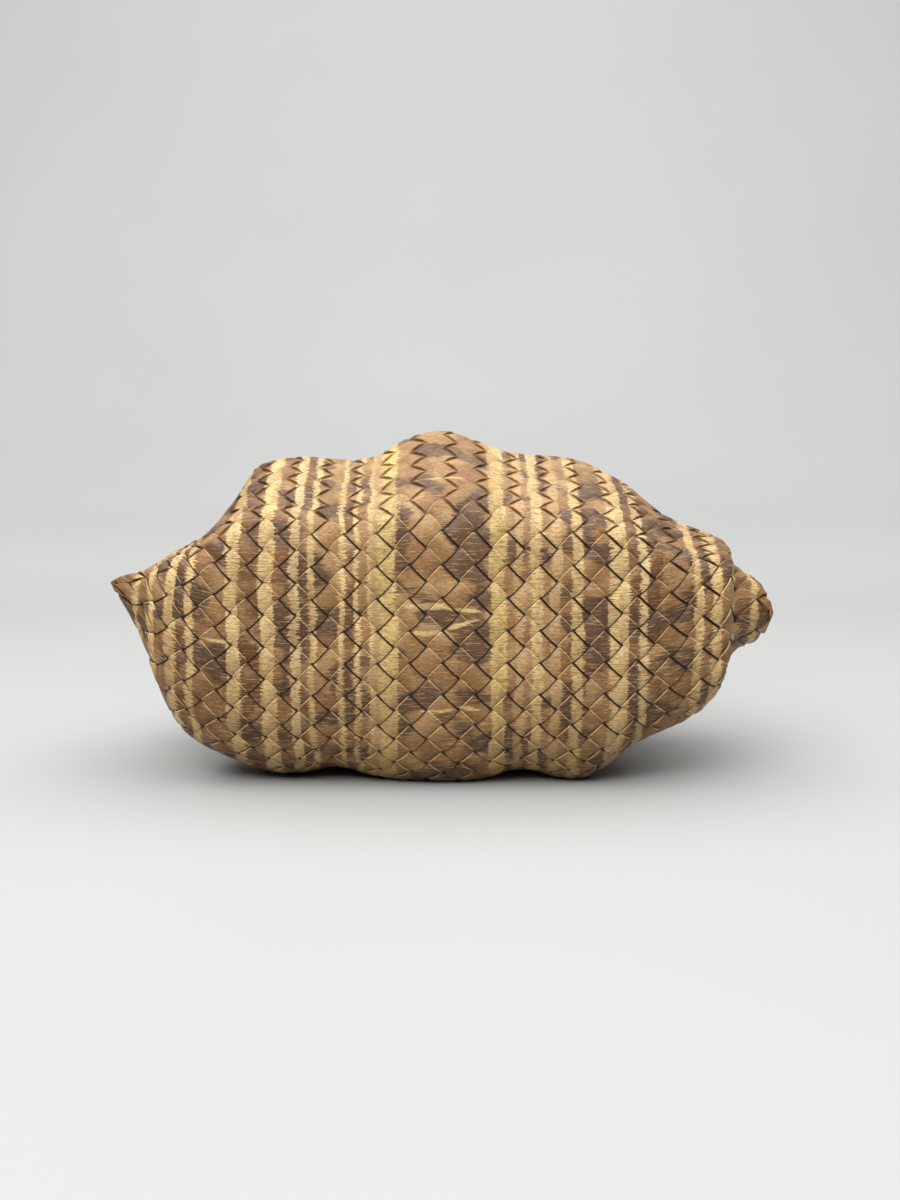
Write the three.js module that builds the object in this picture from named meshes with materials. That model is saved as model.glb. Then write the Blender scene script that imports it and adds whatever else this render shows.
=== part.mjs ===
// A soft woven leather clutch, lying on its back panel with its base to the front.
// Millimetres, +X to the right of the base, +Y from the base to the mouth, +Z up.
//
// The pouch is one sheet of diagonal weave. A place on it is given by two cloth
// lengths: "across", from the middle to a side fold, and "around", from the base
// line over the crest to the upper lip, or under the belly to the lower lip.

import * as THREE from 'three';

// Cloth sizes
const STRIP_PITCH = 10;
const CELLS_ACROSS = 21;
const CELLS_AROUND = 30;
const CELL = STRIP_PITCH * Math.SQRT2;
const HALF_ACROSS = (CELLS_ACROSS * CELL) / 2;
const HALF_AROUND = (CELLS_AROUND * CELL) / 2;
const WALL = 2;

// Form of the filled pouch
const MOUTH_DEPTH = 138;
const MOUTH_HEIGHT = 64;
const MOUTH_GAP = 44;
const MOUTH_HALF_WIDTH = 124;
const FACE_SQUARENESS = 3.2;
const EAR_SQUARENESS = 2.8;
const EAVE_HEIGHT = 0.73;
const EAVE_SHARPNESS = 4.5;
const RELAXED_LENGTH = 60;
const CLOSING = {
  left: { length: 20, roundness: 1.5 },
  right: { length: 8, roundness: 2 },
};
const INNER_SIDE_INSET = 3;

// Folded edge of the mouth
const EDGE_LEATHER_THICKNESS = 1.3;
const EDGE_CLEARANCE = 0.3;

// Mesh steps over the cloth
const STEPS_ACROSS = 50;
const EVEN_STEPS = 0.6;
const STEPS_AROUND = 40;
const HALF_STEPS = STEPS_AROUND / 2;
const CURVE_STEPS = 120;

// The line along the middle of the base, from the left ear to the right ear
const BASE_LINE = [
  { across: -148.5, x: -147, y: 24, z: 90 },
  { across: -138, x: -135, y: 16, z: 85 },
  { across: -122, x: -122, y: 8, z: 74 },
  { across: -90, x: -90, y: 3, z: 66 },
  { across: 0, x: 0, y: 0, z: 66 },
  { across: 90, x: 90, y: 2, z: 67 },
  { across: 122, x: 122, y: 5, z: 74 },
  { across: 132, x: 130, y: 14, z: 76 },
  { across: 140, x: 139, y: 25, z: 76 },
  { across: 148.5, x: 147, y: 30, z: 76 },
];

// The highest line of the pouch, behind the base's upper edge
const CREST = [
  { across: -148.5, x: -143, y: 38, z: 101 },
  { across: -134, x: -127, y: 44, z: 100 },
  { across: -118, x: -109, y: 52, z: 108 },
  { across: -100, x: -95, y: 56, z: 124 },
  { across: -87, x: -85, y: 58, z: 138 },
  { across: -66, x: -66, y: 60, z: 142 },
  { across: -36, x: -36, y: 62, z: 141 },
  { across: -14, x: -15, y: 64, z: 151 },
  { across: 0, x: 0, y: 66, z: 154 },
  { across: 14, x: 13, y: 64, z: 150 },
  { across: 32, x: 31, y: 62, z: 144 },
  { across: 62, x: 60, y: 60, z: 141 },
  { across: 86, x: 82, y: 58, z: 131 },
  { across: 106, x: 102, y: 54, z: 116 },
  { across: 126, x: 128, y: 46, z: 105 },
  { across: 134, x: 132, y: 44, z: 97 },
  { across: 141, x: 138, y: 42, z: 91 },
  { across: 148.5, x: 144, y: 40, z: 90 },
];

// The lowest line of the pouch, where the back panel reaches the floor
const BELLY = [
  { across: -148.5, x: -138, y: 40, z: 76 },
  { across: -134, x: -123, y: 42, z: 46 },
  { across: -118, x: -114, y: 48, z: 21 },
  { across: -100, x: -95, y: 54, z: 9 },
  { across: -76, x: -74, y: 66, z: 0 },
  { across: -50, x: -50, y: 68, z: 0 },
  { across: 0, x: 0, y: 58, z: -4 },
  { across: 40, x: 39, y: 60, z: 0 },
  { across: 66, x: 62, y: 62, z: -2 },
  { across: 88, x: 83, y: 54, z: 15 },
  { across: 120, x: 113, y: 48, z: 33 },
  { across: 134, x: 124, y: 46, z: 57 },
  { across: 141, x: 136, y: 42, z: 61 },
  { across: 148.5, x: 144, y: 40, z: 63 },
];

// Dents (negative) and swellings of the filled pouch, with "turn" in degrees
const FOLDS = [
  { across: -62, around: 72, length: 34, width: 8, turn: 4, height: -3 },
  { across: 84, around: 58, length: 36, width: 8, turn: -22, height: -3 },
  { across: -48, around: -78, length: 12, width: 22, turn: 0, height: -3 },
  { across: 34, around: -78, length: 12, width: 22, turn: 0, height: -3 },
];

const WOVEN_LEATHER = { color: 0x8f7048, roughness: 0.55, metalness: 0 };
const EDGE_LEATHER = { color: 0x6b4a30, roughness: 0.6, metalness: 0 };

// Smooth curve through one column of a table
function along(table, column, across) {
  const last = table.length - 1;
  let i = 0;
  while (i < last - 1 && across > table[i + 1].across) {
    i += 1;
  }
  const slope = (k) => {
    const low = table[Math.max(k - 1, 0)];
    const high = table[Math.min(k + 1, last)];
    return (high[column] - low[column]) / (high.across - low.across);
  };
  const start = table[i];
  const end = table[i + 1];
  const span = end.across - start.across;
  const t = THREE.MathUtils.clamp((across - start.across) / span, 0, 1);
  const rise = t * t * (3 - 2 * t);
  const bend = span * t * (1 - t) * ((1 - t) * slope(i) - t * slope(i + 1));
  return start[column] + (end[column] - start[column]) * rise + bend;
}

function railPoint(table, across) {
  return new THREE.Vector3(
    along(table, 'x', across),
    along(table, 'y', across),
    along(table, 'z', across),
  );
}

function lipPoint(across, side) {
  const share = across / HALF_ACROSS;
  const open = Math.sqrt(Math.max(0, 1 - share * share));
  const height = MOUTH_HEIGHT + (side * MOUTH_GAP * open) / 2;
  return new THREE.Vector3(MOUTH_HALF_WIDTH * share, MOUTH_DEPTH, height);
}

// Shares of the way back and up from the base line to the ridge, in a squared curve
function roundedFace(way, squareness) {
  const angle = (Math.PI / 2) * way;
  const power = 2 / squareness;
  return { back: 1 - Math.max(0, Math.cos(angle)) ** power, up: Math.sin(angle) ** power };
}

// The same shares for an upright face that turns at an eave into a sloping roof
function eavedFace(way) {
  const start = (1 - way) ** 2;
  const eave = 2 * EAVE_SHARPNESS * way * (1 - way);
  const end = way ** 2;
  const total = start + eave + end;
  return { back: end / total, up: (EAVE_HEIGHT * eave + end) / total };
}

// One column of the cloth as a fine polyline: up the base's face and its roof to the
// crest, or round its lower edge to the belly, then in an easy curve to the lip.
// Behind the crest the roof's slope fades out.
function columnCurve(across, side) {
  const { lerp } = THREE.MathUtils;
  const base = railPoint(BASE_LINE, across);
  const ridge = railPoint(side > 0 ? CREST : BELLY, across);
  const lip = lipPoint(across, side);
  const ear = (across / HALF_ACROSS) ** 4;
  const squareness = lerp(FACE_SQUARENESS, EAR_SQUARENESS, ear);
  const points = [];
  for (let k = 0; k <= CURVE_STEPS; k += 1) {
    const way = k / CURVE_STEPS;
    const rounded = roundedFace(way, squareness);
    const face = side > 0 ? eavedFace(way) : rounded;
    const back = lerp(face.back, rounded.back, ear);
    const up = lerp(face.up, rounded.up, ear);
    points.push(new THREE.Vector3(
      lerp(base.x, ridge.x, back),
      lerp(base.y, ridge.y, back),
      lerp(base.z, ridge.z, up),
    ));
  }
  const roofRise = (1 - EAVE_HEIGHT) * (ridge.z - base.z) * (1 - ear);
  const overRun = (lip.y - ridge.y) / (ridge.y - base.y);
  const overshoot = side > 0 ? roofRise * overRun : 0;
  for (let k = 1; k <= CURVE_STEPS; k += 1) {
    const back = k / CURVE_STEPS;
    const ease = back * back * (3 - 2 * back);
    points.push(new THREE.Vector3(
      lerp(ridge.x, lip.x, ease),
      lerp(ridge.y, lip.y, back),
      lerp(ridge.z, lip.z, ease) + overshoot * back * (1 - back) ** 2,
    ));
  }
  return points;
}

// Places on a column at cloth lengths from the base line. The cloth lies at full
// length near the base line and is gathered evenly further back.
function columnPlaces(across, side, lengths) {
  const points = columnCurve(across, side);
  const travelled = [0];
  for (let k = 1; k < points.length; k += 1) {
    travelled.push(travelled[k - 1] + points[k].distanceTo(points[k - 1]));
  }
  const total = travelled[travelled.length - 1];
  const relaxed = RELAXED_LENGTH * Math.tanh(HALF_AROUND / RELAXED_LENGTH);
  const gathered = (total - relaxed) / (HALF_AROUND - relaxed);
  let k = 1;
  return lengths.map((length) => {
    const eased = RELAXED_LENGTH * Math.tanh(length / RELAXED_LENGTH);
    const way = Math.min(gathered * length + (1 - gathered) * eased, total);
    while (k < points.length - 1 && travelled[k] < way) {
      k += 1;
    }
    const part = (way - travelled[k - 1]) / (travelled[k] - travelled[k - 1]);
    return points[k - 1].clone().lerp(points[k], part);
  });
}

// How far the two panels still stand apart near a side fold, from 1 to 0
function panelsApart(across) {
  const { length, roundness } = across < 0 ? CLOSING.left : CLOSING.right;
  const inside = (HALF_ACROSS - Math.abs(across)) / length;
  if (inside >= 1) {
    return 1;
  }
  return (1 - (1 - inside) ** roundness) ** (1 / roundness);
}

function foldHeight(across, around) {
  let height = 0;
  for (const fold of FOLDS) {
    const turn = THREE.MathUtils.degToRad(fold.turn);
    const right = across - fold.across;
    const up = around - fold.around;
    const lengthwise = (right * Math.cos(turn) + up * Math.sin(turn)) / fold.length;
    const crosswise = (up * Math.cos(turn) - right * Math.sin(turn)) / fold.width;
    height += fold.height * Math.exp(-lengthwise * lengthwise - crosswise * crosswise);
  }
  return height;
}

// The two panels meet along the side folds, so the end columns hold each place once
function place(i, j) {
  const side = i === 0 || i === STEPS_ACROSS;
  const row = side ? HALF_STEPS + Math.abs(j - HALF_STEPS) : j;
  return i * (STEPS_AROUND + 1) + row;
}

// Two triangles for each step of the cloth, with the shorter diagonals of a domed form
function sheetTriangles(at) {
  const index = [];
  for (let i = 0; i < STEPS_ACROSS; i += 1) {
    for (let j = 0; j < STEPS_AROUND; j += 1) {
      const corners = [at(i, j), at(i + 1, j), at(i + 1, j + 1), at(i, j + 1)];
      const leftHalf = i < STEPS_ACROSS / 2;
      const upperHalf = j >= HALF_STEPS;
      const [a, b, c, d] = corners;
      if (leftHalf === upperHalf) {
        index.push(a, b, c, a, c, d);
      } else {
        index.push(a, b, d, b, c, d);
      }
    }
  }
  return index;
}

// Cloth columns lie closer together towards the side folds
function columnAcross(i, halfAcross) {
  const share = (2 * i) / STEPS_ACROSS - 1;
  return halfAcross * THREE.MathUtils.lerp(Math.sin((share * Math.PI) / 2), share, EVEN_STEPS);
}

// The middle of the leather wall: a grid of places with the outward direction at each
function clothSheet(halfAcross) {
  const lengths = Array.from({ length: HALF_STEPS + 1 }, (_, j) => (HALF_AROUND * j) / HALF_STEPS);
  const places = [];
  const folds = [];
  for (let i = 0; i <= STEPS_ACROSS; i += 1) {
    const across = columnAcross(i, halfAcross);
    const upper = columnPlaces(across, 1, lengths);
    const lower = columnPlaces(across, -1, lengths);
    const apart = i === 0 || i === STEPS_ACROSS ? 0 : panelsApart(across);
    for (let j = 0; j <= STEPS_AROUND; j += 1) {
      const row = Math.abs(j - HALF_STEPS);
      const own = j >= HALF_STEPS ? upper[row] : lower[row];
      const middle = upper[row].clone().lerp(lower[row], 0.5);
      places.push(middle.lerp(own, apart));
      folds.push(apart * foldHeight(across, j >= HALF_STEPS ? lengths[row] : -lengths[row]));
    }
  }
  const before = outwardDirections(places);
  places.forEach((point, k) => {
    point.addScaledVector(before[k], folds[k]);
  });
  return { places, outward: outwardDirections(places) };
}

function outwardDirections(places) {
  const sheet = new THREE.BufferGeometry().setFromPoints(places);
  sheet.setIndex(sheetTriangles(place));
  sheet.computeVertexNormals();
  const normals = sheet.attributes.normal;
  return places.map((_, k) => new THREE.Vector3().fromBufferAttribute(normals, k));
}

function solid(name, points, index, finish) {
  const geometry = new THREE.BufferGeometry().setFromPoints(points);
  geometry.setIndex(index);
  geometry.computeVertexNormals();
  const mesh = new THREE.Mesh(geometry, new THREE.MeshStandardMaterial(finish));
  mesh.name = name;
  return mesh;
}

function offset(sheet, k, distance) {
  return sheet.places[k].clone().addScaledVector(sheet.outward[k], distance);
}

// The pouch lies flat on the floor where it would sink below it
function flattened(point, floor) {
  point.z = Math.max(point.z, floor);
  return point;
}

// The hollow pouch: an outer and an inner skin joined round the mouth
function wovenBody(outer, inner) {
  const count = outer.places.length;
  const points = [
    ...outer.places.map((_, k) => flattened(offset(outer, k, WALL / 2), 0)),
    ...inner.places.map((_, k) => flattened(offset(inner, k, -WALL / 2), WALL)),
  ];
  const within = (i, j) => count + place(i, j);
  const index = sheetTriangles(place);
  const turned = sheetTriangles(within);
  for (let t = 0; t < turned.length; t += 3) {
    index.push(turned[t], turned[t + 2], turned[t + 1]);
  }
  for (let i = 0; i < STEPS_ACROSS; i += 1) {
    const top = STEPS_AROUND;
    index.push(place(i, top), place(i + 1, top), within(i + 1, top));
    index.push(place(i, top), within(i + 1, top), within(i, top));
    index.push(place(i + 1, 0), place(i, 0), within(i, 0));
    index.push(place(i + 1, 0), within(i, 0), within(i + 1, 0));
  }
  return solid('woven_body', points, index, WOVEN_LEATHER);
}

// A strip of leather folded over the mouth's cut edge: a channel swept once round,
// along the upper lip from left to right and back along the lower lip
function mouthBinding(outer, inner) {
  const near = WALL / 2 + EDGE_CLEARANCE;
  const far = near + EDGE_LEATHER_THICKNESS;
  const thick = EDGE_CLEARANCE + EDGE_LEATHER_THICKNESS;
  const points = [];
  const addRing = (i, lipRow, hemRow) => {
    const hem = place(i, hemRow);
    const lip = place(i, lipRow);
    const onward = outer.places[lip].clone().sub(outer.places[hem]).normalize();
    const past = (sheet, distance, beyond) => (
      offset(sheet, lip, distance).addScaledVector(onward, beyond)
    );
    points.push(
      offset(outer, hem, near),
      offset(outer, hem, far),
      past(outer, far, thick),
      past(inner, -far, thick),
      offset(inner, hem, -far),
      offset(inner, hem, -near),
      past(inner, -near, EDGE_CLEARANCE),
      past(outer, near, EDGE_CLEARANCE),
    );
  };
  for (let i = 0; i < STEPS_ACROSS; i += 1) {
    addRing(i, STEPS_AROUND, STEPS_AROUND - 1);
  }
  for (let i = STEPS_ACROSS; i > 0; i -= 1) {
    addRing(i, 0, 1);
  }
  const sides = 8;
  const rings = points.length / sides;
  const index = [];
  for (let ring = 0; ring < rings; ring += 1) {
    const here = ring * sides;
    const onward = ((ring + 1) % rings) * sides;
    for (let k = 0; k < sides; k += 1) {
      const next = (k + 1) % sides;
      index.push(here + k, onward + k, onward + next);
      index.push(here + k, onward + next, here + next);
    }
  }
  return solid('mouth_binding', points, index, EDGE_LEATHER);
}

const outerSheet = clothSheet(HALF_ACROSS);
const innerSheet = clothSheet(HALF_ACROSS - INNER_SIDE_INSET);

const clutch = new THREE.Group();
clutch.add(wovenBody(outerSheet, innerSheet));
clutch.add(mouthBinding(outerSheet, innerSheet));

// The origin lies on the floor under the middle of the clutch
const box = new THREE.Box3().setFromObject(clutch);
const centre = box.getCenter(new THREE.Vector3());
clutch.position.set(-centre.x, -centre.y, -box.min.z);

export default clutch;
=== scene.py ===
"""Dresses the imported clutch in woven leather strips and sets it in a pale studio.

The tables and sizes are in millimetres, as the frame was made. MM turns them into Blender's
metres. A place on the pouch is given by two cloth lengths: "across", from the middle to a side
fold, and "around", from the base line over the crest to the upper lip, or under the belly to
the lower lip. Past a side fold the cloth goes on over the other panel.
"""

import bpy
import numpy as np
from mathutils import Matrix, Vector


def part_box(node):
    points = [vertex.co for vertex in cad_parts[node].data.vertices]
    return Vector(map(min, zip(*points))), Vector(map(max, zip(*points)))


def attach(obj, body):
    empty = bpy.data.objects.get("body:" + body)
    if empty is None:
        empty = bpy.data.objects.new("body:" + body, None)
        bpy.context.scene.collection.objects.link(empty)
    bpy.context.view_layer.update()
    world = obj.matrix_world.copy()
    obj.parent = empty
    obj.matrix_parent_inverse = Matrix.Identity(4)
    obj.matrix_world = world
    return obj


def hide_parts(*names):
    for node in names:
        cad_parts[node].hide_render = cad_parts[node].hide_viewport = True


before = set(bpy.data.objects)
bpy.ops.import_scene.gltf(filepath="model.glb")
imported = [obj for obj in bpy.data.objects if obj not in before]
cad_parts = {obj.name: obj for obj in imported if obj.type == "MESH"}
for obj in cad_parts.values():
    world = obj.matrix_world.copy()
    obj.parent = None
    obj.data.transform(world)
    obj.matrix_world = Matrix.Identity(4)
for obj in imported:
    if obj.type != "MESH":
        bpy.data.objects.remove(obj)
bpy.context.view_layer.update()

MM = 0.001
SEED = 7

# Cloth sizes
STRIP_PITCH = 10
CELLS_ACROSS = 21
CELLS_AROUND = 30
CELL = STRIP_PITCH * np.sqrt(2)
HALF_ACROSS = CELLS_ACROSS * CELL / 2
HALF_AROUND = CELLS_AROUND * CELL / 2
WALL = 2

# Form of the filled pouch
MOUTH_DEPTH = 138
MOUTH_HEIGHT = 64
MOUTH_GAP = 44
MOUTH_HALF_WIDTH = 124
FACE_SQUARENESS = 3.2
EAR_SQUARENESS = 2.8
EAVE_HEIGHT = 0.73
EAVE_SHARPNESS = 4.5
RELAXED_LENGTH = 60
LEFT_CLOSING = {"length": 20, "roundness": 1.5}
RIGHT_CLOSING = {"length": 8, "roundness": 2}

# Steps of the cloth's fine grid
GRID_COLUMNS = 361
GRID_ROWS = 361
EVEN_COLUMNS = 0.3
CURVE_STEPS = 120

# The line along the middle of the base. Columns: across, x, y, z
BASE_LINE = np.array([
    (-148.5, -147, 24, 90),
    (-138, -135, 16, 85),
    (-122, -122, 8, 74),
    (-90, -90, 3, 66),
    (0, 0, 0, 66),
    (90, 90, 2, 67),
    (122, 122, 5, 74),
    (132, 130, 14, 76),
    (140, 139, 25, 76),
    (148.5, 147, 30, 76),
], float)

# The highest line of the pouch. Columns: across, x, y, z
CREST = np.array([
    (-148.5, -143, 38, 101),
    (-134, -127, 44, 100),
    (-118, -109, 52, 108),
    (-100, -95, 56, 124),
    (-87, -85, 58, 138),
    (-66, -66, 60, 142),
    (-36, -36, 62, 141),
    (-14, -15, 64, 151),
    (0, 0, 66, 154),
    (14, 13, 64, 150),
    (32, 31, 62, 144),
    (62, 60, 60, 141),
    (86, 82, 58, 131),
    (106, 102, 54, 116),
    (126, 128, 46, 105),
    (134, 132, 44, 97),
    (141, 138, 42, 91),
    (148.5, 144, 40, 90),
], float)

# The lowest line of the pouch. Columns: across, x, y, z
BELLY = np.array([
    (-148.5, -138, 40, 76),
    (-134, -123, 42, 46),
    (-118, -114, 48, 21),
    (-100, -95, 54, 9),
    (-76, -74, 66, 0),
    (-50, -50, 68, 0),
    (0, 0, 58, -4),
    (40, 39, 60, 0),
    (66, 62, 62, -2),
    (88, 83, 54, 15),
    (120, 113, 48, 33),
    (134, 124, 46, 57),
    (141, 136, 42, 61),
    (148.5, 144, 40, 63),
], float)

# Dents of the filled pouch. Columns: across, around, length, width, turn in degrees, height
FOLDS = (
    (-62, 72, 34, 8, 4, -3),
    (84, 58, 36, 8, -22, -3),
    (-48, -78, 12, 22, 0, -3),
    (34, -78, 12, 22, 0, -3),
    (133, 6, 34, 4, 90, -4),
)

# Leather strips
PAD_WIDTH = 10.5
TUCKED_WIDTH = 9.6
STRIP_THICKNESS = 0.85
STRIP_LIFT = 0.5
STRIP_CROWN = 0.15
UPPER_EDGE_DROP = 0.28
LOWER_EDGE_DROP = 0.05
DIVE_START = 0.16
DIVE_END = 0.52
SHINGLE = (0.06, 0.02)
PAD_TILT = 0.1
PAD_RISE = 0.06
FOLD_BULGE = 1.0
FOLD_REACH = 9
FOLD_SHARPNESS = 16
STRIP_WANDER = 0.1
STRIP_WANDER_KNOTS = 30
WIDTH_WANDER = 0.012
WIDTH_WANDER_KNOTS = 40
RING_STEPS = (-0.5, -0.45, -0.4, -0.33, -0.2, 0, 0.2, 0.33, 0.4, 0.45)
TOP_STEPS = (-1, -0.92, 0, 0.92, 1)
LOWEST_MIDDLE = STRIP_LIFT + STRIP_CROWN + PAD_TILT + PAD_RISE + STRIP_THICKNESS / 2

# Folded edge of the mouth. Each hem row has its reach off the cloth and its share of the hem
EDGE_LEATHER = 1.3
EDGE_REACH = 2.6
EDGE_HEM = HALF_AROUND / 20
EDGE_RINGS = 240
EDGE_INSIDE = EDGE_REACH - EDGE_LEATHER
EDGE_HEM_ROWS = (
    (EDGE_INSIDE, 0),
    (EDGE_REACH - 0.4, -0.02),
    (EDGE_REACH, 0.05),
    (EDGE_REACH, 0.5),
    (EDGE_REACH, 0.9),
)
EDGE_BEND_ROWS = 7
EDGE_BEND_DEPTH = EDGE_REACH * 0.62

# Soft lights, in metres and watts. Columns: name, place, target, width and height, power
LIGHTS = (
    ("top_light", (0, -0.15, 1.3), (0, -0.15, 0), (3.0, 2.4), 61),
    ("key_light", (-0.35, -1.15, 0.95), (0, 0, 0.08), (0.9, 0.5), 11),
    ("backdrop_light", (0, 0.7, 1.4), (0, 2.0, 1.2), (2.4, 0.4), 30),
)
WORLD_LIGHT = 0.06

# Studio sheet, in metres
SHEET_HALF_WIDTH = 3.0
SHEET_NEAR = -2.5
SHEET_BEND_START = 1.1
SHEET_BEND_RADIUS = 0.9
SHEET_BEND_STEPS = 16
SHEET_HEIGHT = 3.0

# Camera, from the photo's 900 by 1200 frame
CAMERA_ELEVATION = np.radians(8)
CAMERA_DISTANCE = 750
FRAME_HEIGHT_PX = 1200
SENSOR_HEIGHT = 36
MM_PER_PX = 0.4305
AIM_HEIGHT = 86
AIM_RIGHT = 3.0


def srgb(red, green, blue):
    """A colour as the eye reads it, 0 to 255, as the linear colour that shaders take."""
    share = np.array((red, green, blue)) / 255
    linear = np.where(share <= 0.04045, share / 12.92, ((share + 0.055) / 1.055) ** 2.4)
    return (*linear.tolist(), 1.0)


# Form of the pouch, as in the frame

def along(table, column, across):
    """Smooth curve through one column of a table."""
    at = table[:, 0]
    values = table[:, column]
    last = len(at) - 1
    ahead = np.minimum(np.arange(last + 1) + 1, last)
    behind = np.maximum(np.arange(last + 1) - 1, 0)
    slope = (values[ahead] - values[behind]) / (at[ahead] - at[behind])
    i = np.clip(np.searchsorted(at, across) - 1, 0, last - 1)
    span = at[i + 1] - at[i]
    t = np.clip((across - at[i]) / span, 0, 1)
    rise = t * t * (3 - 2 * t)
    bend = span * t * (1 - t) * ((1 - t) * slope[i] - t * slope[i + 1])
    return values[i] + (values[i + 1] - values[i]) * rise + bend


def rail(table, across):
    return np.stack([along(table, column, across) for column in (1, 2, 3)], axis=-1)


def rounded_face(way, squareness):
    """Shares of the way back and up from the base line to the ridge, in a squared curve."""
    angle = np.pi / 2 * way
    power = 2 / squareness
    return 1 - np.clip(np.cos(angle), 0, None) ** power, np.sin(angle) ** power


def eaved_face(way):
    """The same shares for an upright face that turns at an eave into a sloping roof."""
    start = (1 - way) ** 2
    eave = 2 * EAVE_SHARPNESS * way * (1 - way)
    end = way ** 2
    total = start + eave + end
    return end / total, (EAVE_HEIGHT * eave + end) / total


def column_curves(across, side):
    """Each column of the cloth as a fine polyline from the base line to the lip."""
    base = rail(BASE_LINE, across)[:, None]
    ridge = rail(CREST if side > 0 else BELLY, across)[:, None]
    share = across / HALF_ACROSS
    opening = np.sqrt(np.clip(1 - share ** 2, 0, None))
    lip = np.stack([
        MOUTH_HALF_WIDTH * share,
        np.full_like(share, MOUTH_DEPTH),
        MOUTH_HEIGHT + side * MOUTH_GAP * opening / 2,
    ], axis=-1)[:, None]
    ear = (share ** 4)[:, None]
    way = np.linspace(0, 1, CURVE_STEPS + 1)
    back, up = rounded_face(way, FACE_SQUARENESS + (EAR_SQUARENESS - FACE_SQUARENESS) * ear)
    if side > 0:
        face_back, face_up = eaved_face(way)
        back = face_back + (back - face_back) * ear
        up = face_up + (up - face_up) * ear
    front = base + (ridge - base) * np.stack([back, back, up], axis=-1)
    way = way[1:]
    ease = way * way * (3 - 2 * way)
    rear = ridge + (lip - ridge) * np.stack([ease, way, ease], axis=-1)
    if side > 0:
        over_run = (lip - ridge)[..., 1] / (ridge - base)[..., 1]
        roof_rise = (1 - EAVE_HEIGHT) * (ridge - base)[..., 2] * (1 - ear)
        rear[..., 2] += roof_rise * over_run * way * (1 - way) ** 2
    return np.concatenate([front, rear], axis=1)


def column_places(across, side, lengths):
    """Places at cloth lengths from the base line, gathered further back."""
    curves = column_curves(across, side)
    steps = np.linalg.norm(np.diff(curves, axis=1), axis=-1)
    travelled = np.concatenate([np.zeros((len(across), 1)), np.cumsum(steps, axis=1)], axis=1)
    relaxed = RELAXED_LENGTH * np.tanh(HALF_AROUND / RELAXED_LENGTH)
    gathered = (travelled[:, -1:] - relaxed) / (HALF_AROUND - relaxed)
    eased = RELAXED_LENGTH * np.tanh(lengths / RELAXED_LENGTH)
    way = gathered * lengths + (1 - gathered) * eased
    places = np.empty((len(across), len(lengths), 3))
    for n in range(len(across)):
        for axis in range(3):
            places[n, :, axis] = np.interp(way[n], travelled[n], curves[n, :, axis])
    return places


def panels_apart(across):
    """How far the two panels stand apart near a side fold, from 1 to 0."""
    apart = np.ones_like(across)
    for side, closing in ((-1, LEFT_CLOSING), (1, RIGHT_CLOSING)):
        inside = np.clip((HALF_ACROSS - side * across) / closing["length"], 0, 1)
        power = closing["roundness"]
        apart = np.minimum(apart, (1 - (1 - inside) ** power) ** (1 / power))
    return apart


def fold_height(across, around):
    height = 0
    for at_across, at_around, length, width, turn, rise in FOLDS:
        angle = np.radians(turn)
        right = across - at_across
        up = around - at_around
        lengthwise = (right * np.cos(angle) + up * np.sin(angle)) / length
        crosswise = (up * np.cos(angle) - right * np.sin(angle)) / width
        height = height + rise * np.exp(-lengthwise ** 2 - crosswise ** 2)
    return height


def outward_directions(places):
    """Directions square to the cloth. The side columns take the mean of both panels."""
    left = places[1:2, ::-1]
    right = places[-2:-1, ::-1]
    wide = np.concatenate([left, places, right])
    normal = np.cross(wide[2:] - wide[:-2], np.gradient(places, axis=1))
    normal[0] = normal[1] + normal[1, ::-1]
    normal[-1] = normal[-2] + normal[-2, ::-1]
    return normal / np.maximum(np.linalg.norm(normal, axis=-1, keepdims=True), 1e-9)


class Cloth:
    """The middle of the leather wall as a fine grid of places and outward directions."""

    def __init__(self):
        share = np.linspace(-1, 1, GRID_COLUMNS)
        curved = np.sin(share * np.pi / 2)
        self.columns = HALF_ACROSS * (curved + (share - curved) * EVEN_COLUMNS)
        lengths = np.linspace(0, HALF_AROUND, GRID_ROWS // 2 + 1)
        upper = column_places(self.columns, 1, lengths)
        lower = column_places(self.columns, -1, lengths)
        middle = (upper + lower) / 2
        apart = panels_apart(self.columns)[:, None, None]
        upper = middle + (upper - middle) * apart
        lower = middle + (lower - middle) * apart
        places = np.concatenate([lower[:, :0:-1], upper], axis=1)
        around = np.linspace(-HALF_AROUND, HALF_AROUND, GRID_ROWS)
        dents = fold_height(self.columns[:, None], around[None, :]) * apart[:, :, 0]
        places += outward_directions(places) * dents[:, :, None]
        places[:, :, 2] = np.maximum(places[:, :, 2], LOWEST_MIDDLE)
        self.places = places
        self.outward = outward_directions(places)
        self.shift = np.zeros(3)

    def at(self, across, around):
        """Places and outward directions, at arrays of cloth lengths."""
        turns = np.floor((across + HALF_ACROSS) / (2 * HALF_ACROSS))
        flip = 1 - 2 * np.mod(turns, 2)
        unfolded = flip * (across - 2 * HALF_ACROSS * turns)
        column = np.interp(unfolded, self.columns, np.arange(GRID_COLUMNS))
        row = np.clip((flip * around / HALF_AROUND + 1) / 2, 0, 1) * (GRID_ROWS - 1)
        i = np.minimum(column.astype(int), GRID_COLUMNS - 2)
        j = np.minimum(row.astype(int), GRID_ROWS - 2)
        u = (column - i)[..., None]
        v = (row - j)[..., None]

        def blend(grid):
            low = grid[i, j] * (1 - u) + grid[i + 1, j] * u
            high = grid[i, j + 1] * (1 - u) + grid[i + 1, j + 1] * u
            return low * (1 - v) + high * v

        outward = blend(self.outward)
        outward /= np.maximum(np.linalg.norm(outward, axis=-1, keepdims=True), 1e-9)
        return blend(self.places) + self.shift, outward


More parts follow.
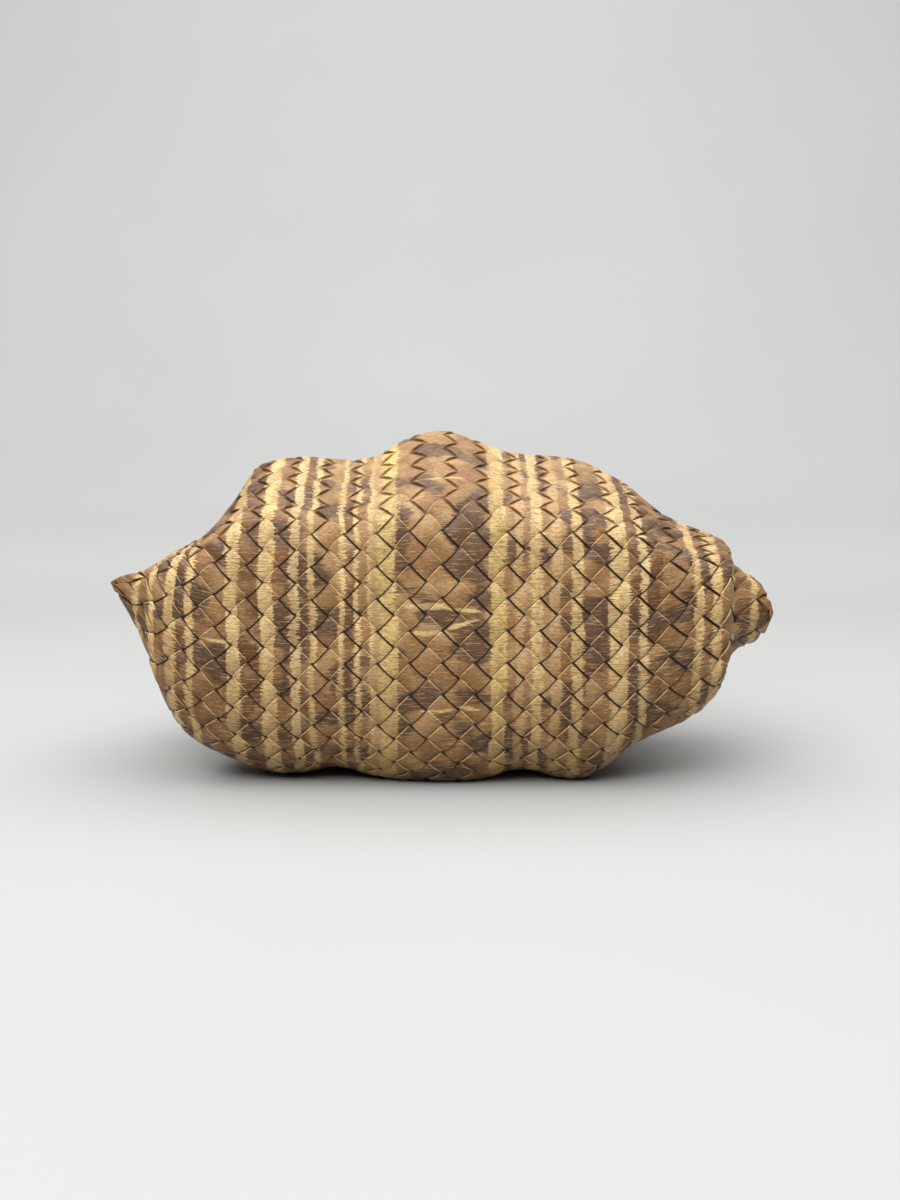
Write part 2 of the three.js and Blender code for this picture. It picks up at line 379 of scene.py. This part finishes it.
def seat_in_frame(cloth):
    """Moves the cloth to where the frame's body lies: the mid-wall fills its box less the wall."""
    low, high = (np.array(corner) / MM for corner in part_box("woven_body"))
    mid_low = cloth.places.min(axis=(0, 1))
    mid_high = cloth.places.max(axis=(0, 1))
    cloth.shift[0] = (low[0] + high[0] - mid_low[0] - mid_high[0]) / 2
    cloth.shift[1] = low[1] + WALL / 2 - mid_low[1]


# Meshes

def add_mesh(name, points, faces, finish, attributes=None, sharp_angle=28):
    """A mesh piece with smooth shading that breaks at sharp edges, and its point attributes."""
    mesh = bpy.data.meshes.new(name)
    mesh.from_pydata((np.asarray(points) * MM).tolist(), [], faces)
    for label, values in (attributes or {}).items():
        layer = mesh.attributes.new(label, "FLOAT_VECTOR", "POINT")
        layer.data.foreach_set("vector", np.asarray(values, np.float32).ravel())
    mesh.polygons.foreach_set("use_smooth", [True] * len(mesh.polygons))
    mesh.set_sharp_from_angle(angle=np.radians(sharp_angle))
    mesh.materials.append(finish)
    piece = bpy.data.objects.new(name, mesh)
    bpy.context.scene.collection.objects.link(piece)
    return piece


def tube_faces(rings, sides, start, closed):
    """Quads between rings of a swept section, with end caps unless it closes on itself."""
    faces = []
    for ring in range(rings if closed else rings - 1):
        here = start + ring * sides
        onward = start + ((ring + 1) % rings) * sides
        for k in range(sides):
            following = (k + 1) % sides
            faces.append((here + k, onward + k, onward + following, here + following))
    if not closed:
        last = start + (rings - 1) * sides
        faces.append(tuple(start + k for k in range(sides)))
        faces.append(tuple(last + k for k in reversed(range(sides))))
    return faces


def smooth_step(low, high, values):
    t = np.clip((values - low) / (high - low), 0, 1)
    return t * t * (3 - 2 * t)


def wander(rng, count, knots):
    """A slow random curve of that many steps, about -1 to 1."""
    return np.interp(np.linspace(0, knots - 1, count), np.arange(knots), rng.uniform(-1, 1, knots))


def strip_points(cloth, index, family, rng):
    """One leather strip, from lip to lip round the base, over and under the other family.

    Family 0 rises to the right and is on top at even crossings. Family 1 rises to the left
    and is on top at odd ones. Each pad's lower edge stands off a little, its upper edge is
    skived, and a side fold turns the way that is up along the strip. Returns the points with
    their cloth and strip attributes.
    """
    slant = 1 if family == 0 else -1
    crossings = np.arange(-CELLS_AROUND, CELLS_AROUND + 1)
    along_strip = (crossings[:, None] + np.array(RING_STEPS)).ravel()
    along_strip = along_strip[np.abs(along_strip) <= CELLS_AROUND]
    rings = len(along_strip)
    around_line = along_strip * CELL / 2
    across_line = index * CELL + slant * around_line
    upward = np.tanh(FOLD_SHARPNESS * np.cos(np.pi * across_line / (2 * HALF_ACROSS)))
    shingled = along_strip + SHINGLE[family] * upward
    from_top = np.abs(np.mod(shingled + 1 - family, 2) - 1)
    lift = 1 - 2 * smooth_step(DIVE_START, DIVE_END, from_top)
    pads = np.rint(along_strip).astype(int) + CELLS_AROUND
    on_top = np.clip(lift, 0, 1)
    tilt = rng.uniform(-PAD_TILT, PAD_TILT, 2 * CELLS_AROUND + 1)[pads] * on_top
    rise = rng.uniform(-PAD_RISE, PAD_RISE, 2 * CELLS_AROUND + 1)[pads] * on_top
    tone = rng.uniform(-1, 1, 2 * CELLS_AROUND + 1)[pads]

    top = np.array(TOP_STEPS)
    sideways = np.concatenate([top, (1, -1)])
    inner = np.concatenate([np.zeros(len(top)), (1, 1)])
    upper_side = (1 + slant * upward[:, None] * np.sign(sideways)) / 2
    edge_drop = LOWER_EDGE_DROP + (UPPER_EDGE_DROP - LOWER_EDGE_DROP) * upper_side
    cut = (np.abs(sideways) == 1) & (inner == 0)
    section = STRIP_THICKNESS / 2 - edge_drop * cut - STRIP_THICKNESS * inner
    sides = len(sideways)

    bow = np.cos(np.pi / 2 * from_top) ** 2
    uneven = 1 + WIDTH_WANDER * wander(rng, rings, WIDTH_WANDER_KNOTS)
    half_width = (TUCKED_WIDTH + (PAD_WIDTH - TUCKED_WIDTH) * bow) / 2 * uneven
    offset = STRIP_WANDER * wander(rng, rings, STRIP_WANDER_KNOTS)
    lateral = sideways * half_width[:, None] + offset[:, None]
    across = across_line[:, None] - lateral / np.sqrt(2)
    around = around_line[:, None] + slant * lateral / np.sqrt(2)
    from_fold = np.abs(np.mod(across, 2 * HALF_ACROSS) - HALF_ACROSS)
    bulge = 1 + FOLD_BULGE * np.exp(-(from_fold / FOLD_REACH) ** 2) * on_top[:, None]
    centre = STRIP_LIFT * lift + STRIP_CROWN * np.cos(np.pi * from_top) + rise
    height = centre[:, None] * bulge + section + tilt[:, None] * sideways
    places, outward = cloth.at(across, around)
    points = (places + outward * height[..., None]).reshape(-1, 3)
    pad_tone = np.broadcast_to(tone[:, None], across.shape)
    cloth_place = np.stack([across, around, pad_tone], axis=-1).reshape(-1, 3)
    strip_place = np.stack([
        slant * upward[:, None] * sideways,
        np.broadcast_to(lift[:, None], across.shape),
        np.broadcast_to(inner, across.shape),
    ], axis=-1).reshape(-1, 3)
    return points, tube_faces(rings, sides, 0, False), cloth_place, strip_place


def woven_strips(cloth, family, name, finish):
    """All the strips of one family. Each side fold turns a strip back, so there are as many
    strips as cells across, and none is drawn twice."""
    rng = np.random.default_rng(SEED + family)
    points, faces, cloth_places, strip_places = [], [], [], []
    count = 0
    first = CELLS_ACROSS // 2 + 1
    for index in range(first, first + CELLS_ACROSS):
        own, own_faces, cloth_place, strip_place = strip_points(cloth, index, family, rng)
        points.append(own)
        faces += [tuple(k + count for k in face) for face in own_faces]
        cloth_places.append(cloth_place)
        strip_places.append(strip_place)
        count += len(own)
    attributes = {"cloth": np.concatenate(cloth_places), "strip": np.concatenate(strip_places)}
    piece = add_mesh(name, np.concatenate(points), faces, finish, attributes)
    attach(piece, "root")
    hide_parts("woven_body")
    return piece


# Materials

class Socket:
    """An output of a finish's nodes. Python's operators on it add Math nodes."""

    def __init__(self, finish, output):
        self.finish = finish
        self.output = output

    def __add__(self, other):
        return self.finish.maths("ADD", self, other)

    __radd__ = __add__

    def __sub__(self, other):
        return self.finish.maths("SUBTRACT", self, other)

    def __rsub__(self, other):
        return self.finish.maths("SUBTRACT", other, self)

    def __mul__(self, other):
        return self.finish.maths("MULTIPLY", self, other)

    __rmul__ = __mul__

    def __truediv__(self, other):
        return self.finish.maths("DIVIDE", self, other)

    def __mod__(self, other):
        return self.finish.maths("FLOORED_MODULO", self, other)

    def __abs__(self):
        return self.finish.maths("ABSOLUTE", self)


class Finish:
    """A material whose nodes are added one by one, closed by its leather surface."""

    def __init__(self, name):
        self.material = bpy.data.materials.new(name)
        self.material.use_nodes = True
        self.tree = self.material.node_tree
        self.tree.nodes.clear()

    def node(self, kind, settings=None, sockets=None, output=0):
        """Adds a node: its settings first, then the values or links of its sockets."""
        node = self.tree.nodes.new(kind)
        for label, value in (settings or {}).items():
            if label == "stops":
                self.set_stops(node.color_ramp, value)
            elif label == "interpolation":
                node.color_ramp.interpolation = value
            else:
                setattr(node, label, value)
        for label, value in (sockets or {}).items():
            if isinstance(value, Socket):
                self.tree.links.new(value.output, node.inputs[label])
            else:
                node.inputs[label].default_value = value
        return Socket(self, node.outputs[output]) if node.outputs else node

    @staticmethod
    def set_stops(ramp, stops):
        while len(ramp.elements) < len(stops):
            ramp.elements.new(0.5)
        for element, (position, colour) in zip(ramp.elements, stops):
            element.position = position
            element.color = colour

    def maths(self, operation, *values):
        return self.node("ShaderNodeMath", {"operation": operation}, dict(enumerate(values)))

    def step(self, low, high, value):
        """Smooth step of a value from 0 at low to 1 at high."""
        settings = {"interpolation_type": "SMOOTHSTEP"}
        sockets = {"Value": value, "From Min": low, "From Max": high}
        return self.node("ShaderNodeMapRange", settings, sockets)

    def attribute(self, name):
        """The three parts of a point attribute."""
        vector = self.node("ShaderNodeAttribute", {"attribute_name": name}, output="Vector")
        return [
            self.node("ShaderNodeSeparateXYZ", None, {"Vector": vector}, output)
            for output in ("X", "Y", "Z")
        ]

    def place(self, x, y, z=0.0):
        return self.node("ShaderNodeCombineXYZ", None, {"X": x, "Y": y, "Z": z})

    def scaled(self, place, scale):
        settings = {"operation": "SCALE"}
        return self.node("ShaderNodeVectorMath", settings, {"Vector": place, "Scale": scale})

    def bump(self, height, strength, distance):
        sockets = {"Height": height, "Strength": strength, "Distance": distance}
        return self.node("ShaderNodeBump", None, sockets)

    def noise(self, place, detail=2.0, roughness=0.5):
        sockets = {"Vector": place, "Scale": 1.0, "Detail": detail, "Roughness": roughness}
        return self.node("ShaderNodeTexNoise", {"noise_dimensions": "3D"}, sockets)

    def mix(self, share, first, second, blend="MIX"):
        """Mix of two colours. The colour sockets of the node are its seventh and eighth."""
        settings = {"data_type": "RGBA", "blend_type": blend}
        return self.node("ShaderNodeMix", settings, {0: share, 6: first, 7: second}, output=2)

    def close(self, sockets):
        """The surface shader and the material's output."""
        surface = self.node("ShaderNodeBsdfPrincipled", None, sockets)
        self.node("ShaderNodeOutputMaterial", None, {"Surface": surface})
        return self.material


STRAW = srgb(234, 206, 144)
PALE_STRAW = srgb(228, 204, 150)
OLIVE = srgb(230, 204, 132)
BROWN = srgb(167, 129, 83)
TAN = srgb(210, 175, 126)
RUST = srgb(158, 112, 68)
UMBER = srgb(126, 86, 50)
SLATE = srgb(99, 73, 56)
# Cream of a raw cut edge, put on upward-facing edges only, so in part a painted highlight
RAW_EDGE_HIGHLIGHT = srgb(232, 202, 146)
# Painted shade, near black, for where a strip dives under a crossing strip
PAINTED_TUCK_SHADE = srgb(34, 18, 6)
SUEDE = srgb(150, 116, 80)

# The printed stripes. Columns: where each begins across the cloth, and its colour
STRIPES = (
    (-150, BROWN), (-139, STRAW), (-136, BROWN), (-131, STRAW), (-128, BROWN), (-122, STRAW),
    (-117.5, UMBER), (-113, STRAW), (-109, BROWN), (-94.5, STRAW), (-88.5, UMBER), (-80, STRAW),
    (-73.5, RUST), (-66.5, PALE_STRAW), (-62.5, UMBER), (-58.2, STRAW), (-55.2, BROWN),
    (-45.7, STRAW), (-43.2, UMBER), (-39.2, STRAW), (-36.6, BROWN), (-32.7, STRAW), (-31, TAN),
    (-28, OLIVE), (-20.2, BROWN), (0, BROWN),
    (20.2, OLIVE), (26.8, BROWN), (30.6, TAN), (34.9, BROWN), (37.9, STRAW), (42.2, BROWN),
    (46, TAN), (50.4, BROWN), (55.5, STRAW), (59.8, BROWN), (71.5, STRAW), (80, UMBER),
    (84.8, PALE_STRAW), (88.2, UMBER), (94, BROWN), (108.9, STRAW), (112, BROWN), (116.2, STRAW),
    (121, BROWN), (128.3, STRAW), (130.9, BROWN), (138, STRAW), (141, BROWN),
)
PRINT_HALF = 150

# Straw marks where the dye of the middle band left off. Columns: middle across, middle around,
# rise per mm across, half length, half height
MARKS = (
    (-6, 18, -0.1, 13, 1.6),
    (9, 16, -0.06, 10, 1.2),
    (-8, 5, 0.12, 12, 1.8),
    (9, 9, 0.22, 9, 1.2),
    (-3, -29, 0.02, 9, 1.2),
    (11, -28, -0.1, 6, 1.0),
    (2, 76, 0.05, 12, 1.5),
    (-98, 1, 0.08, 9, 1.4),
)


# Cloudy patches of the dye. Columns: scale across, scale around, layer of noise, its detail, and
# the noise at which a patch begins and at which it is full
WARM_PATCHES = (0.05, 0.055, 21.0, 1.5, 0.46, 0.6)
PALE_PATCHES = (0.06, 0.07, 33.0, 1.5, 0.46, 0.62)
FADED_PATCHES = (0.25, 0.035, 41.0, 2.0, 0.42, 0.66)

# Where the colour changes: out from the middle the print darkens, down towards the underside a
# painted shade darkens it, and on the roof the painted shade of the tucks is lighter
OUTER_START = 30.0
OUTER_FULL = 95.0
UNDERSIDE_SHADE_START = 20.0
UNDERSIDE_SHADE_FULL = -40.0
ROOF_START = 40.0
ROOF_FULL = 75.0


def unfolded_lengths(finish):
    """The cloth lengths of a point, turned back at each side fold, and the tone of its pad."""
    along_across, along_around, pad = finish.attribute("cloth")
    turns = finish.maths("FLOOR", (along_across + HALF_ACROSS) / (2 * HALF_ACROSS))
    flip = 1 - 2 * (turns % 2)
    across = flip * (along_across - 2 * HALF_ACROSS * turns)
    return across, flip * along_around, pad


def stripe_ramp(finish, position, stripes, low):
    """Stripes over one half of the print. A ramp holds 32 stops at most."""
    stops = [(max((start - low) / PRINT_HALF, 0), colour) for start, colour in stripes]
    settings = {"interpolation": "CONSTANT", "stops": stops}
    return finish.node("ShaderNodeValToRGB", settings, {"Fac": position})


def printed_stripes(finish, across, around, pad, comb, drift):
    """The stripes, with feathered edges that drift a little and step from pad to pad."""
    ragged = finish.noise(finish.place(across * 0.07, around * 0.04, 13.0), 1.0)
    printed = across + (comb - 0.5) * (ragged * 18 - 3) + (drift - 0.5) * 3 + pad * 0.7
    left_stripes = [stripe for stripe in STRIPES if stripe[0] < 0]
    right_stripes = [stripe for stripe in STRIPES if stripe[0] >= 0]
    left = stripe_ramp(finish, printed / PRINT_HALF + 1, left_stripes, -PRINT_HALF)
    right = stripe_ramp(finish, printed / PRINT_HALF, right_stripes, 0)
    return finish.mix(finish.maths("GREATER_THAN", printed, 0.0), left, right)


def dye_patches(finish, across, around, patches):
    scale_across, scale_around, layer, detail, begins, full = patches
    place = finish.place(across * scale_across, around * scale_around, layer)
    return finish.step(begins, full, finish.noise(place, detail))


def dye_and_underside_shade(finish, colour, straw, across, around, comb):
    """The stripes with warm, pale, faded and dark patches of dye, darker at the sides, and darkened
    below by a painted shade.
    """
    dyed = 1 - straw
    blots = finish.noise(finish.place(across * 0.04, around * 0.055, 9.0), 1.0)
    dark = finish.step(0.5, 0.56, blots + (comb - 0.5) * 0.16)
    warm = dye_patches(finish, across, around, WARM_PATCHES)
    pale = dye_patches(finish, across, around, PALE_PATCHES)
    faded = dye_patches(finish, across, around, FADED_PATCHES)
    outer = finish.step(OUTER_START, OUTER_FULL, abs(across))
    # Painted shade: the colour darkens towards the underside, where the shade falls
    underside_shade = 1 - finish.step(UNDERSIDE_SHADE_FULL, UNDERSIDE_SHADE_START, around)
    colour = finish.mix(warm * dyed * 0.45, colour, RUST)
    colour = finish.mix(pale * dyed * 0.5, colour, TAN)
    colour = finish.mix(faded * straw * 0.6, colour, TAN)
    colour = finish.mix(dark * (dyed * 0.8 + 0.12), colour, SLATE)
    colour = finish.mix(outer * dyed * 0.3, colour, UMBER, "MULTIPLY")
    return finish.mix(underside_shade * 0.3, colour, UMBER, "MULTIPLY")


def straw_marks(finish, across, around, waver):
    """Where the straw marks lie, from 0 to 1."""
    marks = 0
    for at_across, at_around, slope, half_length, half_height in MARKS:
        right = across - at_across
        out = right / half_length
        off = abs(around - at_around - right * slope + waver)
        mark = 1 - finish.step(0.45, 1.0, off / half_height + out * out)
        marks = finish.maths("MAXIMUM", marks, mark)
    return marks


def woven_leather():
    """Leather strips with a print of feathered stripes that runs on from strip to strip."""
    finish = Finish("woven_leather")
    across, around, pad = unfolded_lengths(finish)
    sideways, lift, inner = finish.attribute("strip")
    comb = finish.noise(finish.place(across * 0.1, around * 1.3), 2.0, 0.65)
    drift = finish.noise(finish.place(across * 0.03, around * 0.05, 4.0), 2.0)
    hair = finish.noise(finish.place(across * 0.13, around * 1.5, 2.0), 2.0, 0.6)
    fine = finish.noise(finish.place(across * 0.5, around * 2.6, 5.0), 3.0, 0.7)

    colour = printed_stripes(finish, across, around, pad, comb, drift)
    green = finish.node("ShaderNodeSeparateColor", None, {"Color": colour}, "Green")
    straw = finish.step(0.26, 0.42, green)
    colour = dye_and_underside_shade(finish, colour, straw, across, around, comb)
    waver = (drift - 0.5) * 12 + (comb - 0.5) * 3
    colour = finish.mix(straw_marks(finish, across, around, waver) * 0.85, colour, STRAW)

    brown_hair = finish.step(0.5, 0.6, hair)
    tan_hair = 1 - finish.step(0.36, 0.47, hair)
    colour = finish.mix(brown_hair * (straw * 0.6 + 0.15), colour, BROWN)
    colour = finish.mix(tan_hair * (1 - straw) * 0.5, colour, TAN)
    colour = finish.mix(pad * 0.14 + 0.14, colour, UMBER, "MULTIPLY")
    colour = finish.mix(finish.step(0.42, 0.66, fine) * 0.6, colour, UMBER, "MULTIPLY")

    # Raw cut edges in cream, on the upward-facing edges only: the leather's own colour, and in part
    # a painted highlight
    raw_edge_highlight = finish.step(0.92, 0.97, sideways)
    # Painted shade where a strip dives under a crossing strip, lighter on the roof
    painted_tuck_shade = 1 - finish.step(-0.95, -0.55, lift)
    roof = finish.step(ROOF_START, ROOF_FULL, around)
    colour = finish.mix(raw_edge_highlight * 0.42, colour, RAW_EDGE_HIGHLIGHT)
    colour = finish.mix(painted_tuck_shade * (1 - roof * 0.55), colour, PAINTED_TUCK_SHADE)
    colour = finish.mix(inner, colour, SUEDE)

    grain = finish.noise(finish.place(across * 1.1, around * 1.1, sideways * 0.3), 4.0, 0.65)
    crease = finish.noise(finish.place(across * 0.25, around * 0.9, 6.0), 3.0, 0.6)
    pillow = 1 - sideways * sideways
    relief = grain * 0.35 + crease * 0.8 + hair * 0.25 + pillow * 1.6
    return finish.close({
        "Base Color": colour,
        "Roughness": 0.46 + (grain - 0.5) * 0.2 + inner * 0.3,
        "Specular IOR Level": 0.28,
        "Normal": finish.bump(relief, 0.35, 0.4 * MM),
    })


def plain_leather(name, base, dark):
    """Plain brown leather of the folded edge, with grain and mottled tones of wear."""
    finish = Finish(name)
    coordinates = finish.node("ShaderNodeTexCoord", None, None, "Object")
    place = finish.scaled(coordinates, 1 / MM)
    grain = finish.noise(finish.scaled(place, 1.2), 4.0, 0.65)
    tone = finish.noise(finish.scaled(place, 0.08), 3.0, 0.6)
    colour = finish.mix(finish.step(0.35, 0.7, tone), base, dark)
    normal = finish.bump(grain, 0.3, 0.3 * MM)
    gloss = 0.5 + (grain - 0.5) * 0.25
    return finish.close({"Base Color": colour, "Roughness": gloss, "Normal": normal})


def studio_paper():
    finish = Finish("studio_paper")
    coordinates = finish.node("ShaderNodeTexCoord", None, None, "Object")
    tone = finish.noise(finish.scaled(coordinates, 3.0))
    colour = finish.mix(tone, srgb(168, 169, 168), srgb(174, 175, 173))
    return finish.close({"Base Color": colour, "Roughness": 0.9})


# The mouth's folded edge

def mouth_edge(cloth, finish):
    """A strip of leather folded over the mouth's cut rim, swept once round it."""
    turn = np.arange(EDGE_RINGS) * 2 * np.pi / EDGE_RINGS
    across = -HALF_ACROSS * np.cos(turn)
    side = np.where(turn < np.pi, 1, -1)
    lip, outward = cloth.at(across, side * HALF_AROUND)
    back, back_outward = cloth.at(across, side * (HALF_AROUND - EDGE_HEM))
    onward = lip - back
    onward /= np.linalg.norm(onward, axis=1, keepdims=True)

    def hem_row(reach, share):
        direction = back_outward + (outward - back_outward) * share
        return back + (lip - back) * share + direction * reach

    rows = [hem_row(reach, share) for reach, share in EDGE_HEM_ROWS]
    for angle in np.linspace(0, np.pi, EDGE_BEND_ROWS):
        off = outward * EDGE_REACH * np.cos(angle)
        rows.append(lip + off + onward * EDGE_BEND_DEPTH * np.sin(angle))
    rows += [hem_row(-reach, share) for reach, share in reversed(EDGE_HEM_ROWS)]
    rows.append(lip - outward * EDGE_INSIDE)
    rows.append(lip + outward * EDGE_INSIDE)
    points = np.stack(rows, axis=1).reshape(-1, 3)
    faces = tube_faces(EDGE_RINGS, len(rows), 0, True)
    piece = add_mesh("mouth_edge", points, faces, finish, sharp_angle=60)
    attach(piece, "root")
    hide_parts("mouth_binding")
    return piece


# Studio

def studio(finish):
    """A pale floor that runs up into a backdrop, as one swept sheet."""
    profile = [(SHEET_NEAR, 0.0), (SHEET_BEND_START, 0.0)]
    for angle in np.linspace(0, np.pi / 2, SHEET_BEND_STEPS + 1)[1:]:
        bend_back = SHEET_BEND_START + SHEET_BEND_RADIUS * np.sin(angle)
        profile.append((bend_back, SHEET_BEND_RADIUS * (1 - np.cos(angle))))
    profile.append((SHEET_BEND_START + SHEET_BEND_RADIUS, SHEET_HEIGHT))
    ends = (-SHEET_HALF_WIDTH, SHEET_HALF_WIDTH)
    points = [(x, y, z) for y, z in profile for x in ends]
    faces = [(2 * k, 2 * k + 1, 2 * k + 3, 2 * k + 2) for k in range(len(profile) - 1)]
    sweep = add_mesh("studio_sweep", np.array(points) / MM, faces, finish, sharp_angle=80)


def soft_light(name, place, target, size, power):
    light = bpy.data.lights.new(name, "AREA")
    light.shape = "RECTANGLE"
    light.size, light.size_y = size
    light.energy = power
    holder = bpy.data.objects.new(name, light)
    holder.location = place
    holder.rotation_euler = (Vector(target) - Vector(place)).to_track_quat("-Z", "Y").to_euler()
    bpy.context.scene.collection.objects.link(holder)


def lights():
    for light in LIGHTS:
        soft_light(*light)
    world = bpy.data.worlds.new("studio_world")
    world.use_nodes = True
    background = world.node_tree.nodes["Background"]
    background.inputs["Color"].default_value = (1, 1, 1, 1)
    background.inputs["Strength"].default_value = WORLD_LIGHT
    bpy.context.scene.world = world
    bpy.context.scene.view_settings.view_transform = "Standard"


def camera(front):
    """The photo's viewpoint: a little above the clutch, square to its base."""
    forward = Vector((0, np.cos(CAMERA_ELEVATION), -np.sin(CAMERA_ELEVATION)))
    aim = Vector((AIM_RIGHT, front, AIM_HEIGHT)) * MM
    lens = bpy.data.cameras.new("photo_camera")
    lens.sensor_fit = "VERTICAL"
    lens.sensor_height = SENSOR_HEIGHT
    lens.lens = SENSOR_HEIGHT * CAMERA_DISTANCE / (MM_PER_PX * FRAME_HEIGHT_PX)
    holder = bpy.data.objects.new("photo_camera", lens)
    holder.location = aim - forward * CAMERA_DISTANCE * MM
    holder.rotation_euler = forward.to_track_quat("-Z", "Y").to_euler()
    bpy.context.scene.collection.objects.link(holder)
    bpy.context.scene.camera = holder


camera(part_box("woven_body")[0][1] / MM)
cloth = Cloth()
seat_in_frame(cloth)
leather = woven_leather()
woven_strips(cloth, 0, "strips_rising_right", leather)
woven_strips(cloth, 1, "strips_rising_left", leather)
mouth_edge(cloth, plain_leather("edge_leather", srgb(110, 78, 52), srgb(84, 58, 40)))
studio(studio_paper())
lights()
